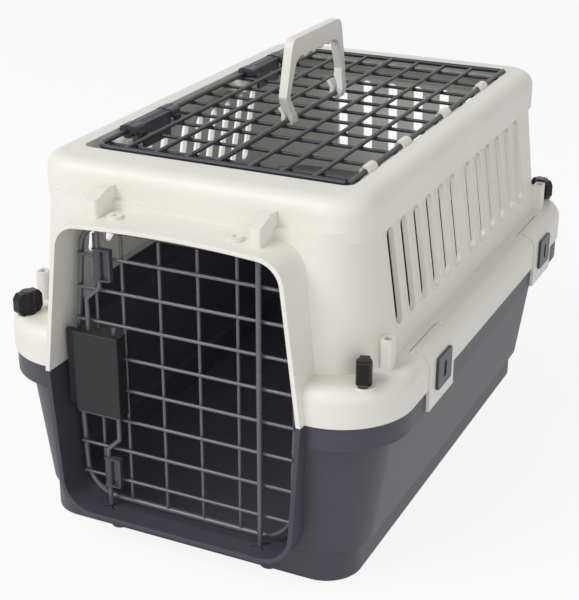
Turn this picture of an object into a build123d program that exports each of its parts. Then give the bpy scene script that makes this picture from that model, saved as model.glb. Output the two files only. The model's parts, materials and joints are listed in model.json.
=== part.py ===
from build123d import *
import math
import os

# Small plastic pet carrier with a wire front door, a wire roof hatch and a carrying handle.
# X runs across the carrier, Y from the door to the back and Z up, in millimetres.
# The origin is at the middle of the footprint, on the surface the feet stand on.

# Overall sizes
overall_length = 475.0
overall_width = 320.0
foot_height = 2.0
parting_height = 136.5
ledge_height = 264.0
deck_height = 287.0

# Shells
shell_wall = 2.8
floor_thickness = 3.2
flange_height = 28.0
flange_edge_radius = 10.0
flange_corner_radius = 55.0
flange_setback = 6.0
base_rim_height = 18.0
base_rim_step = 1.5
upper_wall_step = 21.0
upper_wall_front_step = 20.0
upper_wall_back_step = 19.0
upper_wall_draft = 14.5
upper_wall_end_draft = 6.0
upper_corner_low = 50.0
upper_corner_high = 32.0
roof_band_step = 5.0
roof_band_overhang = 4.0
roof_band_skirt = 8.0
roof_band_lap = 3.0
roof_band_corner = 28.0
roof_edge_radius = 12.0
base_wall_step = 13.0
base_wall_front_step = 5.0
base_wall_back_step = 28.0
base_wall_draft = 13.0
base_wall_end_draft = 9.0
base_corner_high = 50.0
base_corner_low = 38.0
skirt_height = 25.0
skirt_step = 6.0
skirt_front_step = 3.0
skirt_corner = 28.0
locating_lip_height = 5.0
locating_lip_thickness = 1.6
seam_clearance = 0.3

# Doorway and its collar
doorway_floor_height = 24.5
doorway_floor_half_width = 91.5
doorway_seam_half_width = 99.0
doorway_top_half_width = 85.0
doorway_side_height = 250.5
doorway_crown_height = 254.7
doorway_floor_corner = 24.0
doorway_top_corner = 18.0
collar_wall = 3.4
collar_draft = 2.0
collar_run = 34.0

# Rod sockets on the collar
gusset_width = 8.6
gusset_front_setback = 11.5
gusset_ridge_setback = 26.5
gusset_back_setback = 39.0
gusset_front_top = 269.5
gusset_top = 274.5
gusset_edge = 2.0
socket_roof = 3.0
socket_end_gap = 2.0
socket_cup_radius = 5.5
socket_cup_floor = 17.5
socket_floor_thickness = 1.8
cross_slot_length = 15.0
cross_slot_width = 1.0
cross_slot_depth = 1.6
ring_boss_radius = 5.5
ring_boss_height = 1.5
ring_boss_hole = 1.7
ring_boss_x = 46.5

# Air slots
slot_width = 12.0
back_slot_width = 10.0
slot_pitch = 25.4
slot_shift = -6.5
slot_bottom = 184.5
slot_top = 255.0
slots_per_group = 6
slot_group_gap = 35.0
slot_bead_width = 2.2
slot_bead_height = 1.2
back_slot_count = 6

# Roof hatch
hatch_side_inset = 53.0
hatch_front_inset = 64.0
hatch_back_inset = 55.5
hatch_corner = 8.0
hatch_lip_depth = 9.0
hatch_lip_wall = 2.4

# Front door
door_setback = 23.0
wire_radius = 1.25
door_frame_radius = 2.1
door_rod_radius = 2.0
weld_gap = 0.05
door_frame_top = 245.5
door_frame_foot = 28.9
door_frame_top_half_width = 79.0
door_frame_seam_half_width = 88.5
door_frame_foot_half_width = 85.0
door_frame_top_corner = 15.0
door_frame_foot_corner = 26.0
door_frame_side_bend = 150.0
door_wire_pitch = 25.4
door_wire_count = 8
door_upright_pitch = 30.5
door_uprights = 4
door_upright_start = -46.8
door_guide_upright_x = -69.0
door_hinge_x = 63.5

# Door latch
latch_rod_radius = 1.75
latch_bolt_x = -62.5
upper_rod_grip_x = -73.8
lower_rod_grip_x = -52.3
latch_box_left = -83.5
latch_box_right = -46.0
latch_box_low = 104.5
latch_box_high = 168.5
latch_box_setback = 9.0
latch_box_wall = 2.0
latch_wing_left = -92.5
latch_wing_depth = 3.4
latch_plate_thickness = 2.2
latch_screw_xs = [-77.5, -60.5]
latch_screw_radius = 1.5
latch_screw_head_radius = 2.8
latch_screw_head_height = 1.4
latch_post_radius = 3.0
upper_bend_height = 198.0
lower_bend_height = 78.0
rod_bend_half_rise = 4.9
upper_rod_end = 151.0
lower_rod_end = 173.5
sleeve_length = 24.0
sleeve_tube_radius = 3.3
sleeve_far_side = 10.8
sleeve_side_wall = 2.2
sleeve_side_setback = 1.0
sleeve_web = 1.6
sleeve_end_plate = 1.2
sleeve_channel = 2.4
upper_sleeve_low = 209.5
lower_sleeve_low = 42.5
bolt_mouth_gap = 0.5

# Roof lid
lid_bar_radius = 1.6
lid_wire_radius = 1.4
lid_rod_radius = 2.0
lid_handle_bar_radius = 2.0
lid_height = 286.5
lid_bar_pitch = 25.0
lid_bars_each_side = 3
lid_hinge_inset = 4.5
lid_hinge_overrun = 1.0
lid_side_inset = 10.0
lid_end_gap = 5.0
lid_wire_past_frame = 7.0
lid_wire_past_hinge = 1.0
lid_wire_under_latch = 12.6
lid_first_wire_gap = 18.0
lid_last_wire_gap = 15.3
lid_wire_bays = [34.5, 34.5, 27.5, 29.2, 29.2, 29.2, 29.2, 29.2, 34.5, 29.2]
knuckle_length = 14.0
knuckle_wall = 2.2
knuckle_mouth = 2.6
knuckle_bays = [0, 2, 5, 8]

# Lid latches
lid_latch_length = 67.0
lid_latch_front_gap = 40.5
lid_latch_back_gap = 105.0
lid_latch_radius = 4.3
lid_latch_cap_radius = 5.2
lid_latch_cap_length = 13.0
lid_latch_cap_left = 5.6
lid_latch_cap_right = 8.5
lid_latch_cap_drop = 1.5
lid_latch_cap_rise = 4.4
lid_latch_cap_edge = 2.4
lid_latch_grip_left = 4.8
lid_latch_grip_right = 7.8
lid_latch_grip_drop = 1.8
lid_latch_grip_rise = 3.4
lid_latch_skirt = 2.4
lid_latch_skirt_drop = 16.0
lid_hook_width = 7.0
lid_hook_gap = 0.4
lid_hook_thickness = 2.4
lid_hook_start = 286.0
lid_hook_end = 356.0
lid_hook_arm_start = 338.0
lid_lug_length = 13.0
lid_lug_reach = 2.0
lid_lug_thickness = 3.0
lid_lug_drop = 5.4
lid_lug_nose = 7.6
lid_lug_nose_gap = 0.4
lid_lug_nose_reach = 6.0
lid_lug_nose_low = 272.5
lid_lug_nose_high = 281.8

# Carrying handle
handle_left_x = -3.0
handle_right_x = 4.0
handle_shift = 3.5
handle_clip_spread = 46.0
handle_top = 349.5
handle_grip_height = 17.0
handle_leg_width = 6.2
handle_shoulder_height = 307.0
handle_front_reach = 59.5
handle_back_reach = 51.7
handle_top_front_reach = 48.0
handle_top_back_reach = 42.2
handle_outer_corner = 9.0
handle_inner_corner = 5.0
handle_shoulder_corner = 3.0
grip_scallops = 5
grip_scallop_pitch = 15.0
grip_scallop_radius = 12.0
grip_scallop_depth = 2.0
clip_wall = 2.9
clip_width = 9.0
clip_relief = 4.0
clip_leg = [
    (-3.0, 14.0),
    (-3.0, 80.0),
    (4.0, 80.0),
    (4.0, 16.0),
    (5.9, 4.0),
    (5.3, -1.0),
    (2.0, -1.0),
    (1.2, 4.5),
]
clip_finger = [(-5.4, -0.5), (-2.5, -0.5), (-1.9, 4.6), (-5.2, 10.4), (-8.2, 9.2), (-4.9, 4.6)]
clip_mouth = [(-1.6, 0.0), (-1.9, 4.6), (-5.2, 10.4), (-0.9, 10.4), (1.2, 4.5), (1.2, 0.0)]

# Side latches
flap_front_inset = 110.5
flap_back_inset = 102.0
flap_width = 51.0
flap_proud = 1.0
flap_thickness = 2.6
flap_drop = 17.0
flap_hinge_inset = 12.5
flap_side_gap = 0.5
flap_floor_gap = 0.4
flap_pin_radius = 1.0
flap_pin_reach = 4.0
flap_lug_length = 6.0
slider_width = 28.0
slider_height = 25.0
slider_proud = 2.2
slider_rise = 7.3
slider_corner = 2.0
slider_stem_width = 10.0
slider_stem_height = 8.0
slider_travel = 5.0
slider_tongue_width = 14.0
slider_tongue_thickness = 1.4
slider_tongue_drop = 6.0
slider_notch_width = 5.0
slider_notch_height = 13.0
slider_notch_depth = 1.2
keeper_thickness = 1.4
keeper_block_depth = 8.0

# Corner fixings
stud_side_inset = 24.5
stud_end_inset = 23.5
stud_radius = 3.0
stud_fit = 0.05
stud_rise = 11.5
stud_boss_radius = 6.5
stud_seat_radius = 8.5
stud_depth = 15.0
wing_length = 22.0
wing_thickness = 7.0
wing_height = 17.4
wing_waist = 15.0
wing_hub_radius = 5.7
wing_hub_rise = 0.6
wing_crown = 16.0
wing_low = 4.0
wing_high = 13.4
wing_corner = 1.6
wing_turns = {(1, -1): 108.0, (-1, -1): 73.0, (1, 1): -35.0, (-1, 1): 20.0}

# Strap sockets beside the upper wall
socket_width = 10.5
socket_reach = 8.2
socket_height = 22.5
socket_edge = 2.0
socket_web = 10.0
socket_web_step = 1.5
socket_hole_reach = 4.8
socket_hole_width = 6.5
socket_floor_height = 3.0
socket_side_inset = 19.0
socket_end_inset = 53.0

# Feet
foot_radius = 7.0
foot_side_inset = 96.0
foot_front_inset = 24.3
foot_back_inset = 69.5

# Fits
running_clearance = 0.08
slide_clearance = 0.3
touch_gap = 0.1

collar_front_y = -overall_length / 2
flange_front_y = collar_front_y + flange_setback
flange_back_y = overall_length / 2
flange_half_width = overall_width / 2
flange_top = parting_height + flange_height
rim_bottom = parting_height - base_rim_height
mid_y = (flange_front_y + flange_back_y) / 2
past_all = overall_length  # reaches beyond the model from any place in it

# Places that follow the overall sizes
door_plane_y = collar_front_y + door_setback
gusset_front_y = collar_front_y + gusset_front_setback
gusset_ridge_y = collar_front_y + gusset_ridge_setback
gusset_back_y = collar_front_y + gusset_back_setback
latch_box_front = collar_front_y + latch_box_setback
stud_x = flange_half_width - stud_side_inset
stud_front_y = flange_front_y + stud_end_inset
stud_back_y = flange_back_y - stud_end_inset
stud_top = flange_top + stud_rise
foot_x = flange_half_width - foot_side_inset
foot_front_y = flange_front_y + foot_front_inset
foot_back_y = flange_back_y - foot_back_inset
socket_x = flange_half_width - socket_side_inset
socket_offset_y = mid_y - flange_front_y - socket_end_inset
hatch_half_width = flange_half_width - hatch_side_inset
hatch_front_y = flange_front_y + hatch_front_inset
hatch_back_y = flange_back_y - hatch_back_inset
flap_centres = [flange_front_y + flap_front_inset, flange_back_y - flap_back_inset]
flap_hinge_x = flange_half_width - flap_hinge_inset
lid_front_y = hatch_front_y + lid_end_gap
lid_back_y = hatch_back_y - lid_end_gap
lid_hinge_x = hatch_half_width - lid_hinge_inset
lid_side_x = lid_side_inset - hatch_half_width
lid_first_wire_y = lid_front_y + lid_first_wire_gap
lid_latch_starts = [lid_front_y + lid_latch_front_gap, lid_back_y - lid_latch_back_gap]
handle_middle_y = mid_y + handle_shift
handle_clip_front_y = handle_middle_y - handle_clip_spread
handle_clip_back_y = handle_middle_y + handle_clip_spread
handle_front_y = handle_middle_y - handle_front_reach
handle_back_y = handle_middle_y + handle_back_reach
handle_top_front_y = handle_middle_y - handle_top_front_reach
handle_top_back_y = handle_middle_y + handle_top_back_reach


def rounded(half_width, front, back, corner, height):
    """Rounded rectangle seen from above."""
    outline = RectangleRounded(2 * half_width, back - front, corner)
    return Plane.XY.offset(height) * Pos(0, (front + back) / 2) * outline


def top_edges(solid):
    return solid.faces().sort_by(Axis.Z)[-1].edges()


def block(x0, x1, y0, y1, z0, z1):
    return Pos((x0 + x1) / 2, (y0 + y1) / 2, (z0 + z1) / 2) * Box(x1 - x0, y1 - y0, z1 - z0)


def upright(radius, x, y, z0, z1):
    return Pos(x, y, (z0 + z1) / 2) * Cylinder(radius, z1 - z0)


def across(radius, y, z, x0, x1):
    return Pos((x0 + x1) / 2, y, z) * Rot(0, 90, 0) * Cylinder(radius, x1 - x0)


def lengthwise(radius, x, z, y0, y1):
    return Pos(x, (y0 + y1) / 2, z) * Rot(90, 0, 0) * Cylinder(radius, y1 - y0)


def save(name, *solids):
    shape = solids[0] if len(solids) == 1 else Compound(children=list(solids))
    export_step(shape, f"parts/{name}.step")


# Outer or inner form of the upper half, drawn in by the given inset

def upper_wall(inset, low, high):
    wall_half = flange_half_width - upper_wall_step
    front = flange_front_y + upper_wall_front_step
    back = flange_back_y - upper_wall_back_step

    def section(height):
        share = (height - flange_top) / (ledge_height - flange_top)
        corner = upper_corner_low + share * (upper_corner_high - upper_corner_low)
        side = wall_half - share * upper_wall_draft - inset
        lean = share * upper_wall_end_draft + inset
        return rounded(side, front + lean, back - lean, corner - inset, height)

    return loft([section(low), section(high)], ruled=True)


def upper_form(inset, skirt):
    flange = extrude(
        rounded(
            flange_half_width - inset,
            flange_front_y + inset,
            flange_back_y - inset,
            flange_corner_radius - inset,
            parting_height,
        ),
        flange_height - inset,
    )
    flange = fillet(top_edges(flange), flange_edge_radius - inset)
    wall = upper_wall(inset, parting_height + flange_height / 3, ledge_height - inset)
    band_side = flange_half_width - upper_wall_step - upper_wall_draft + roof_band_overhang - inset
    band_front = flange_front_y + upper_wall_front_step + upper_wall_end_draft + roof_band_step
    band_back = flange_back_y - upper_wall_back_step - upper_wall_end_draft - roof_band_step
    band_start = ledge_height - skirt
    band = extrude(
        rounded(band_side, band_front + inset, band_back - inset, roof_band_corner - inset, band_start),
        deck_height - inset - band_start,
    )
    band = fillet(top_edges(band), roof_edge_radius - inset)
    return flange + wall + band


def base_form(inset, floor):
    rim_start = rim_bottom + inset
    rim_half = flange_half_width - base_rim_step - inset
    rim_front = flange_front_y + base_rim_step + inset
    rim_back = flange_back_y - base_rim_step - inset
    rim_corner = flange_corner_radius - base_rim_step - inset
    rim = extrude(
        rounded(rim_half, rim_front, rim_back, rim_corner, rim_start),
        parting_height - rim_start,
    )
    high_side = flange_half_width - base_wall_step - inset
    high_front = flange_front_y + base_wall_front_step + inset
    high_back = flange_back_y - base_wall_back_step - inset
    crease = foot_height + skirt_height
    wall = loft(
        [
            rounded(
                high_side - base_wall_draft,
                high_front + base_wall_end_draft,
                high_back - base_wall_end_draft,
                base_corner_low - inset,
                crease + inset,
            ),
            rounded(high_side, high_front, high_back, base_corner_high - inset, rim_bottom + inset + 1),
        ],
        ruled=True,
    )
    skirt_side = high_side - base_wall_draft - skirt_step
    skirt_front = high_front + base_wall_end_draft + skirt_front_step
    skirt_back = high_back - base_wall_end_draft - skirt_step
    skirt = extrude(
        rounded(skirt_side, skirt_front, skirt_back, skirt_corner - inset, foot_height + floor),
        skirt_height - floor + inset + 1,
    )
    return rim + wall + skirt


# Doorway outline in the XZ plane, grown by the given margin

def doorway_face(margin, y):
    sides = [
        (-doorway_top_half_width, doorway_side_height),
        (-doorway_seam_half_width, parting_height),
        (-doorway_floor_half_width, doorway_floor_height),
        (doorway_floor_half_width, doorway_floor_height),
        (doorway_seam_half_width, parting_height),
        (doorway_top_half_width, doorway_side_height),
    ]
    edges = Polyline(*sides) + ThreePointArc(sides[-1], (0, doorway_crown_height), sides[0])
    face = make_face(edges.edges())
    corners = face.vertices()
    floor_corners = [v for v in corners if v.Y < parting_height - 1]
    top_corners = [v for v in corners if v.Y > parting_height + 1]
    face = fillet(floor_corners, doorway_floor_corner)
    top_corners = [v for v in face.vertices() if abs(v.Y - doorway_side_height) < 0.01]
    face = fillet(top_corners, doorway_top_corner)
    if margin:
        face = offset(face, margin, kind=Kind.INTERSECTION)
    return Plane.XZ.offset(-y) * face


def doorway_tunnel(margin, front, back):
    return extrude(doorway_face(margin, back), back - front)


def collar():
    return loft(
        [
            doorway_face(collar_wall, collar_front_y),
            doorway_face(collar_wall + collar_draft, collar_front_y + collar_run),
        ],
        ruled=True,
    )


everything_above = block(-past_all, past_all, -past_all, past_all, parting_height, past_all)
everything_below = block(-past_all, past_all, -past_all, past_all, -past_all, parting_height)


# Air slots: rounded bars that cross the walls

def slot_bar(width, low, high, run, lengthways):
    outline = SlotOverall(high - low, width, rotation=90)
    bar = extrude(Plane.XZ * outline, run / 2, both=True)
    bar = Pos(0, 0, (low + high) / 2) * bar
    return bar if lengthways else Rot(0, 0, 90) * bar


def slot_places():
    middle = mid_y + slot_shift
    near = slot_group_gap / 2
    steps = [near + i * slot_pitch for i in range(slots_per_group)]
    return [middle - s for s in steps] + [middle + s for s in steps]


def back_slot_places():
    first = -(back_slot_count - 1) / 2 * slot_pitch
    return [first + i * slot_pitch for i in range(back_slot_count)]


def slot_bars(grow):
    width = slot_width + 2 * grow
    back_width = back_slot_width + 2 * grow
    low = slot_bottom - grow
    high = slot_top + grow
    side_run = 2 * flange_half_width
    bars = [Pos(0, y, 0) * slot_bar(width, low, high, side_run, False) for y in slot_places()]
    end_run = overall_length / 2
    for x in back_slot_places():
        bars.append(Pos(x, end_run / 2 + mid_y, 0) * slot_bar(back_width, low, high, end_run, True))
    return bars


# Side latches, drawn for the +X side; the other side is a mirror image

def flange_skin(grow, low):
    """Rounded flange block, grown outward and reaching down to the given height."""
    body = extrude(
        rounded(
            flange_half_width + grow,
            flange_front_y - grow,
            flange_back_y + grow,
            flange_corner_radius + grow,
            low,
        ),
        flange_top + grow - low,
    )
    return fillet(top_edges(body), flange_edge_radius + grow)


def flap_band(inner, outer, width, low, centre):
    """Layer over the flange's side between two offsets, cut to a width."""
    reach = block(
        flap_hinge_x,
        flange_half_width + 20,
        centre - width / 2,
        centre + width / 2,
        low,
        flange_top + 20,
    )
    return (flange_skin(outer, low - 1) & reach) - flange_skin(inner, low - 5)


flap_inner = flap_proud - flap_thickness
pocket_inner = flap_inner - flap_floor_gap
flap_low = parting_height - flap_drop
flap_half = flap_width / 2
pocket_half = flap_half + flap_side_gap
hinge_height = flange_top + flap_inner
barrel_radius = flap_thickness
slider_mid = parting_height + slider_rise
slider_face = flange_half_width + flap_proud
stem_low = slider_mid - slider_stem_height / 2
stem_high = slider_mid + slider_stem_height / 2
tongue_low = stem_low - slider_tongue_drop
strap_face = flange_half_width + pocket_inner
strap_back = strap_face - keeper_thickness
tongue_face = strap_back - touch_gap
tongue_back = tongue_face - slider_tongue_thickness
strap_high = tongue_low - slide_clearance


def flap_cuts(centre):
    """Pocket for the flap, groove for its barrel and recess for the slider."""
    low = centre - pocket_half
    high = centre + pocket_half
    pocket = flap_band(pocket_inner, flap_proud + 5, 2 * pocket_half, flap_low - 3, centre)
    groove_radius = barrel_radius + slide_clearance
    groove = lengthwise(groove_radius, flap_hinge_x, hinge_height, low, high)
    over = block(
        flap_hinge_x - groove_radius,
        flap_hinge_x + groove_radius,
        low,
        high,
        hinge_height,
        flange_top + 10,
    )
    half = slider_tongue_width / 2 + slide_clearance
    recess = block(
        tongue_back - slide_clearance,
        flange_half_width + 5,
        centre - half,
        centre + half,
        strap_high,
        stem_high + 4,
    )
    behind_strap = block(
        tongue_back - slide_clearance,
        strap_back,
        centre - half,
        centre + half,
        tongue_low - slider_travel - slide_clearance,
        strap_high + 1,
    )
    return [pocket, groove, over, recess, behind_strap]


def flap_ground(centre):
    """Solid ground behind the flap and round its pin, on both shells."""
    half = pocket_half + shell_wall
    behind = block(
        flange_half_width - keeper_block_depth,
        flange_half_width - base_rim_step,
        centre - half,
        centre + half,
        rim_bottom,
        flange_top - 4,
    )
    under_pin = block(
        flap_hinge_x - 6,
        flange_half_width - keeper_block_depth + 1,
        centre - half,
        centre + half,
        flange_top - 9,
        flange_top,
    )
    return behind + under_pin


def flap_ears(centre):
    """Shell's own knuckles at both ends of the flap's barrel."""
    near = pocket_half
    far = pocket_half + flap_lug_length
    return [
        lengthwise(barrel_radius, flap_hinge_x, hinge_height, centre - far, centre - near),
        lengthwise(barrel_radius, flap_hinge_x, hinge_height, centre + near, centre + far),
    ]


def flap_pin(centre, radius):
    reach = flap_half + flap_pin_reach
    return lengthwise(radius, flap_hinge_x, hinge_height, centre - reach, centre + reach)


def side_flap(centre):
    flap = flap_band(flap_inner, flap_proud, flap_width, flap_low, centre)
    low = centre - flap_half
    high = centre + flap_half
    flap = flap + lengthwise(barrel_radius, flap_hinge_x, hinge_height, low, high)
    bore = flap_pin_radius + running_clearance
    flap = flap - lengthwise(bore, flap_hinge_x, hinge_height, low - 1, high + 1)
    half = slider_stem_width / 2 + slide_clearance
    slot = block(
        flange_half_width - 10,
        flange_half_width + 10,
        centre - half,
        centre + half,
        stem_low - slider_travel - slide_clearance,
        stem_high + slide_clearance,
    )
    return flap - slot


def side_slider(centre):
    """Proud plate, stem through the flap and tongue behind it."""
    plate_back = slider_face + touch_gap
    plate_front = plate_back + slider_proud
    half = slider_width / 2
    plate = block(
        plate_back,
        plate_front,
        centre - half,
        centre + half,
        slider_mid - slider_height / 2,
        slider_mid + slider_height / 2,
    )
    plate = fillet(plate.edges().filter_by(Axis.X), slider_corner)
    notch = Pos(plate_front, centre, slider_mid) * Rot(0, 90, 0) * extrude(
        SlotOverall(slider_notch_height, slider_notch_width), slider_notch_depth, both=True
    )
    stem_half = slider_stem_width / 2
    stem = block(
        tongue_back, plate_back + 0.5, centre - stem_half, centre + stem_half, stem_low, stem_high
    )
    head_half = slider_tongue_width / 2
    inner_face = flange_half_width + flap_inner - touch_gap
    head = block(tongue_back, inner_face, centre - head_half, centre + head_half, stem_low, stem_high)
    tongue = block(
        tongue_back, tongue_face, centre - head_half, centre + head_half, tongue_low, stem_low + 1
    )
    return (plate - notch) + stem + head + tongue


def both_sides(solid):
    return [solid, mirror(solid, about=Plane.YZ)]


def stud_places():
    return [(side, end) for end in (-1, 1) for side in (1, -1)]


def stud_position(side, end):
    return side * stud_x, stud_front_y if end < 0 else stud_back_y


# Heights and places on the roof lid

def cross_wire_places():
    span = lid_back_y - lid_last_wire_gap - lid_first_wire_y
    places = [lid_first_wire_y]
    for bay in lid_wire_bays:
        places.append(places[-1] + bay * span / sum(lid_wire_bays))
    return places


def knuckle_places():
    wires = cross_wire_places()
    return [(wires[i] + wires[i + 1]) / 2 for i in knuckle_bays]


lid_wire_height = lid_height - lid_bar_radius - lid_wire_radius - weld_gap
lid_rod_height = lid_height + lid_rod_radius - lid_bar_radius
handle_bar_height = lid_height + lid_handle_bar_radius - lid_bar_radius
lug_high = lid_rod_height - lid_lug_drop
lug_low = lug_high - lid_lug_thickness


def lug_places():
    """Middles of the four lugs that the lid latches hook under."""
    middles = []
    for start in lid_latch_starts:
        middles.append(start + lid_lug_length / 2)
        middles.append(start + lid_latch_length - lid_lug_length / 2)
    return middles


# Places in front of the door wires

wire_front_y = door_plane_y - door_frame_radius - weld_gap - wire_radius
upright_y = wire_front_y + 2 * wire_radius + weld_gap
rod_plane_y = wire_front_y - wire_radius - weld_gap - door_rod_radius


def rod_cups():
    """Places and bores of the two sockets on the collar."""
    return [
        (latch_bolt_x, latch_rod_radius + slide_clearance),
        (door_hinge_x, door_rod_radius + running_clearance),
    ]


def roof_height_at(x):
    """Height of the doorway's crown at a place across the door."""
    rise = doorway_crown_height - doorway_side_height
    radius = (doorway_top_half_width ** 2 + rise ** 2) / (2 * rise)
    return doorway_crown_height - radius + math.sqrt(radius ** 2 - x ** 2)


def gusset(x):
    """Upright fin over a socket, its ridge rising toward the roof."""
    profile = Polyline(
        (gusset_front_y, doorway_side_height),
        (gusset_front_y, gusset_front_top),
        (gusset_ridge_y, gusset_top),
        (gusset_back_y, gusset_top),
        (gusset_back_y, doorway_side_height),
        close=True,
    )
    body = extrude(make_face(Plane.YZ * profile), gusset_width / 2, both=True)
    front_edges = body.edges().filter_by(Axis.Z).sort_by(Axis.Y)[:2]
    return Pos(x, 0, 0) * fillet(front_edges, gusset_edge)


def strap_socket(y):
    """Upright socket with a web to the wall on the side away from the corner."""
    half = socket_width / 2
    top = flange_top + socket_height
    body = block(
        socket_x - socket_reach / 2,
        socket_x + socket_reach / 2,
        y - half,
        y + half,
        flange_top - 2,
        top,
    )
    body = fillet(body.edges().filter_by(Axis.Z), socket_edge)
    y0, y1 = (y, y + half) if y < mid_y else (y - half, y)
    return body + block(
        socket_x - socket_web, socket_x, y0, y1, flange_top - 2, top - socket_web_step
    )


def strap_hole(y):
    half_x = socket_hole_reach / 2
    half_y = socket_hole_width / 2
    return block(
        socket_x - half_x,
        socket_x + half_x,
        y - half_y,
        y + half_y,
        flange_top + socket_floor_height,
        flange_top + 60,
    )


def lid_knuckle(y):
    """C-shaped keeper on the hatch's edge that the lid's hinge rod snaps into."""
    bore = lid_rod_radius + running_clearance
    outer = bore + knuckle_wall
    y0 = y - knuckle_length / 2
    y1 = y + knuckle_length / 2
    arm = block(
        lid_hinge_x, hatch_half_width + 1, y0, y1, lid_rod_height - outer, lid_rod_height - bore + 0.6
    )
    sleeve = lengthwise(outer, lid_hinge_x, lid_rod_height, y0, y1) + arm
    sleeve = sleeve - lengthwise(bore, lid_hinge_x, lid_rod_height, y0 - 1, y1 + 1)
    mouth = Box(2 * outer, 2 * knuckle_length, knuckle_mouth)
    tilt = Pos(lid_hinge_x, y, lid_rod_height) * Rot(0, 35, 0) * Pos(-outer, 0, 0)
    return sleeve - tilt * mouth


def upper_shell():
    shell = upper_form(0, roof_band_skirt)
    beads = upper_wall(-slot_bead_height, flange_top - 1, ledge_height)
    shell = shell + [beads & bar for bar in slot_bars(slot_bead_width)]
    shell = shell - upper_form(shell_wall, roof_band_lap)
    shell = shell + (collar() & everything_above)
    shell = shell + [gusset(x) for x, bore in rod_cups()]
    for x in (-ring_boss_x, ring_boss_x):
        top = roof_height_at(x) + collar_wall + collar_draft
        boss = upright(ring_boss_radius, x, rod_plane_y, top - 4, top + ring_boss_height)
        shell = shell + boss
    lip = rounded(
        hatch_half_width + hatch_lip_wall,
        hatch_front_y - hatch_lip_wall,
        hatch_back_y + hatch_lip_wall,
        hatch_corner + hatch_lip_wall,
        deck_height - hatch_lip_depth,
    )
    shell = shell + extrude(lip, hatch_lip_depth - shell_wall / 2)
    hatch = rounded(hatch_half_width, hatch_front_y, hatch_back_y, hatch_corner, ledge_height)
    shell = shell - extrude(hatch, 60)
    shell = shell - slot_bars(0)
    shell = shell - doorway_tunnel(0, collar_front_y - 5, collar_front_y + collar_run + 2)
    for x in (-ring_boss_x, ring_boss_x):
        hole = upright(
            ring_boss_hole, x, rod_plane_y, doorway_side_height - 5, doorway_crown_height + 15
        )
        shell = shell - hole
    for x, bore in rod_cups():
        bore_top = gusset_front_top - socket_roof
        shell = shell - upright(bore, x, rod_plane_y, doorway_side_height - 4, bore_top)
    shell = shell + [lid_knuckle(y) for y in knuckle_places()]
    for y in lug_places():
        half = lid_lug_length / 2
        reach = lid_side_x + lid_lug_reach
        shell = shell + block(-hatch_half_width - 1, reach, y - half, y + half, lug_low, lug_high)
    for start in lid_latch_starts:
        nose_end = start - lid_lug_nose_gap
        nose = block(
            -hatch_half_width - 1,
            lid_side_x + lid_lug_nose_reach,
            nose_end - lid_lug_nose,
            nose_end,
            lid_lug_nose_low,
            lid_lug_nose_high,
        )
        shell = shell + nose
    for side, end in stud_places():
        x, y = stud_position(side, end)
        shell = shell + upright(stud_boss_radius, x, y, parting_height, flange_top - 2)
        shell = shell + upright(stud_seat_radius, x, y, flange_top - 9, flange_top)
        bore = stud_radius + slide_clearance
        shell = shell - upright(bore, x, y, parting_height - 5, flange_top + 5)
    for y in (mid_y - socket_offset_y, mid_y + socket_offset_y):
        shell = shell + both_sides(strap_socket(y) - upper_form(shell_wall / 2, roof_band_lap))
        shell = shell - both_sides(strap_hole(y))
    for centre in flap_centres:
        shell = shell + both_sides(flap_ground(centre) & everything_above & upper_form(0, roof_band_skirt))
        for ear in flap_ears(centre):
            shell = shell + both_sides(ear)
        for cut in flap_cuts(centre):
            shell = shell - both_sides(cut)
        shell = shell - both_sides(flap_pin(centre, flap_pin_radius + stud_fit))
    return shell


def locating_lip():
    """Upright lip inside the rim that centres the upper half."""
    inset = shell_wall + seam_clearance
    start = parting_height - base_rim_step - shell_wall

    def ring(extra):
        return extrude(
            rounded(
                flange_half_width - inset - extra,
                flange_front_y + inset + extra,
                flange_back_y - inset - extra,
                flange_corner_radius - inset - extra,
                start,
            ),
            parting_height + locating_lip_height - start,
        )

    lip = ring(0) - ring(locating_lip_thickness)
    gap_half = doorway_seam_half_width + collar_wall + collar_draft + 1
    lip = lip - block(-gap_half, gap_half, flange_front_y, flange_front_y + 15, 0, past_all)
    for side, end in stud_places():
        x, y = stud_position(side, end)
        lip = lip - upright(stud_seat_radius + 1, x, y, 0, past_all)
    for centre in flap_centres:
        half = pocket_half + shell_wall + 1
        lip = lip - block(-past_all, past_all, centre - half, centre + half, 0, past_all)
    return lip


def base_shell():
    shell = base_form(0, 0) - base_form(shell_wall, floor_thickness)
    shell = shell + (collar() & everything_below)
    for x, bore in rod_cups():
        shell = shell + upright(
            socket_cup_radius, x, rod_plane_y, socket_cup_floor, doorway_floor_height - 1
        )
    shell = shell - doorway_tunnel(0, collar_front_y - 5, collar_front_y + collar_run + 2)
    shell = shell + locating_lip()
    for side, end in stud_places():
        x, y = stud_position(side, end)
        shell = shell + upright(stud_boss_radius, x, y, rim_bottom, parting_height)
        bore = stud_radius + stud_fit
        shell = shell - upright(bore, x, y, parting_height - stud_depth, parting_height + 5)
    for x in (-foot_x, foot_x):
        for y in (foot_front_y, foot_back_y):
            shell = shell + upright(foot_radius, x, y, 0, foot_height + 1)
    for x, bore in rod_cups():
        hole_low = socket_cup_floor + socket_floor_thickness
        shell = shell - upright(bore, x, rod_plane_y, hole_low, doorway_floor_height + 5)
        for turn in (45, 135):
            slot = Box(cross_slot_length, cross_slot_width, 2 * cross_slot_depth)
            shell = shell - Pos(x, rod_plane_y, doorway_floor_height) * Rot(0, 0, turn) * slot
    for centre in flap_centres:
        shell = shell + both_sides(flap_ground(centre) & everything_below)
        for cut in flap_cuts(centre):
            shell = shell - both_sides(cut)
    return shell


def corner_studs():
    studs = []
    for side, end in stud_places():
        x, y = stud_position(side, end)
        studs.append(upright(stud_radius, x, y, parting_height - stud_depth + touch_gap, stud_top))
    return studs


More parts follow.
